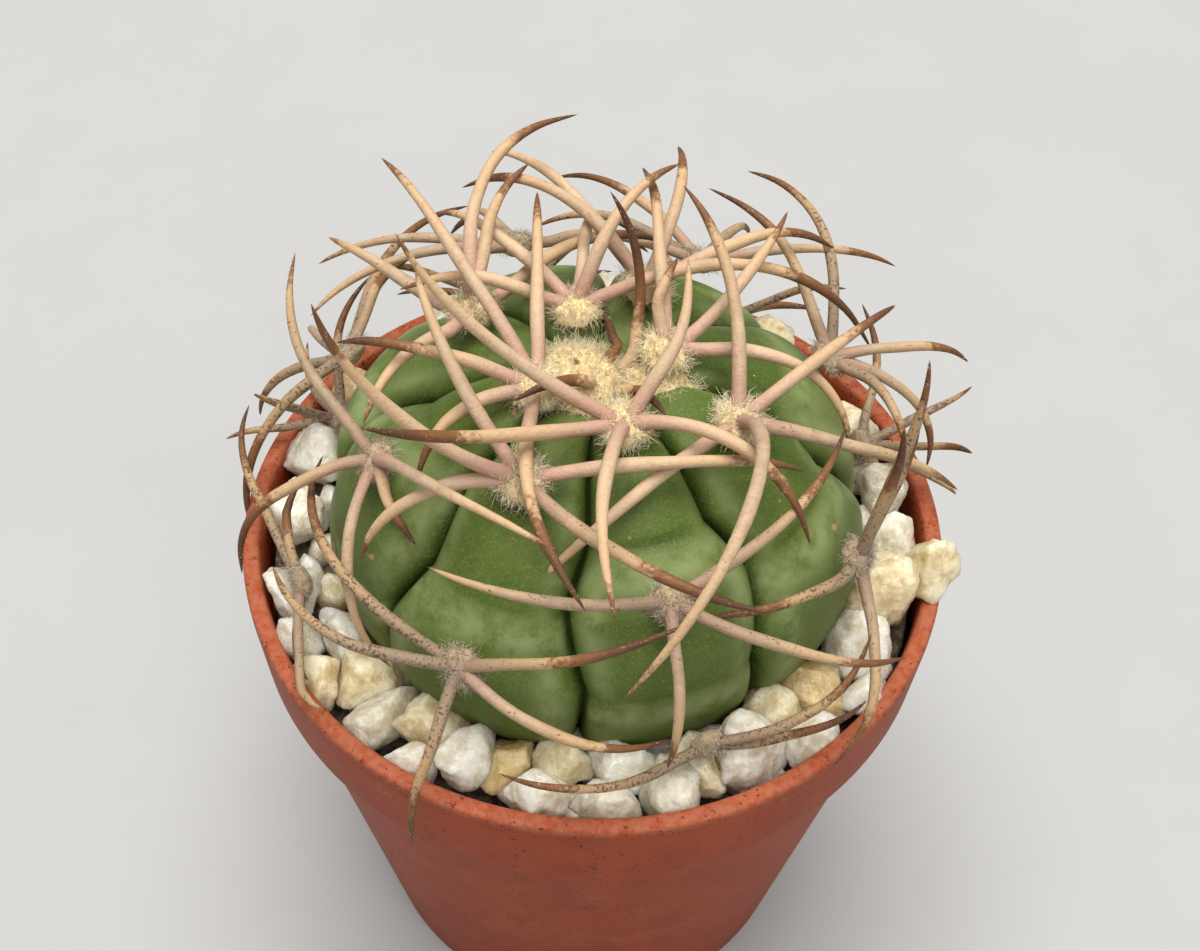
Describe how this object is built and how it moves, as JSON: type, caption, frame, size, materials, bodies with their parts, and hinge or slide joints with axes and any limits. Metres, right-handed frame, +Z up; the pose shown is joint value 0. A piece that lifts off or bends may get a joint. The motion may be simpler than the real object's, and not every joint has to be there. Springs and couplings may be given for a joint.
{
  "type": "potted chin cactus",
  "caption": "Small ribbed globe cactus with chinned ribs and curved spines, rooted in a round plastic nursery pot topped with pale gravel.",
  "frame": {"origin": "middle of the pot's flat underside", "axes": "+Z up along the pot's axis, -Y towards the front of the plant, +X to the right of someone who faces that front"},
  "size_m": [0.0721, 0.0668, 0.0942],
  "materials": {
    "pot_plastic": "satin terracotta-coloured plastic",
    "soil": "dark fibrous potting mix",
    "gravel": "packed quartz gravel",
    "pebble": "white, cream and tan quartz",
    "cactus_skin": "matte waxy olive-green skin with a pale bloom",
    "spine": "horny pinkish-tan spines with darker tips",
    "wool": "straw-coloured felt"
  },
  "bodies": {
    "root": {"pot": "pot_plastic", "potting_soil": "soil", "gravel_bed": "gravel", "cactus_body": "cactus_skin", "crown_wool": "wool", "spines_rib1_middle": "spine", "spines_rib1_top": "spine", "spines_rib2_low": "spine", "spines_rib2_middle": "spine", "spines_rib2_top": "spine", "spines_rib3_middle": "spine", "spines_rib3_top": "spine", "spines_rib4_low": "spine", "spines_rib4_middle": "spine", "spines_rib4_top": "spine", "spines_rib5_low": "spine", "spines_rib5_middle": "spine", "spines_rib5_top": "spine", "spines_rib6_low": "spine", "spines_rib6_middle": "spine", "spines_rib6_top": "spine", "spines_rib7_low": "spine", "spines_rib7_middle": "spine", "spines_rib7_top": "spine", "spines_rib8_low": "spine", "spines_rib8_middle": "spine", "spines_rib8_top": "spine", "stone_01": "pebble", "stone_02": "pebble", "stone_03": "pebble", "stone_04": "pebble", "stone_05": "pebble", "stone_06": "pebble", "stone_07": "pebble", "stone_08": "pebble", "stone_09": "pebble", "stone_10": "pebble", "stone_11": "pebble", "stone_12": "pebble", "stone_13": "pebble", "stone_14": "pebble", "stone_15": "pebble", "stone_16": "pebble", "stone_17": "pebble", "stone_18": "pebble", "stone_19": "pebble", "stone_20": "pebble", "stone_21": "pebble", "stone_22": "pebble", "stone_23": "pebble", "stone_24": "pebble", "stone_25": "pebble", "stone_26": "pebble", "stone_27": "pebble", "stone_28": "pebble", "stone_29": "pebble", "stone_30": "pebble", "stone_31": "pebble", "stone_32": "pebble", "stone_33": "pebble"}
  },
  "joints": []
}
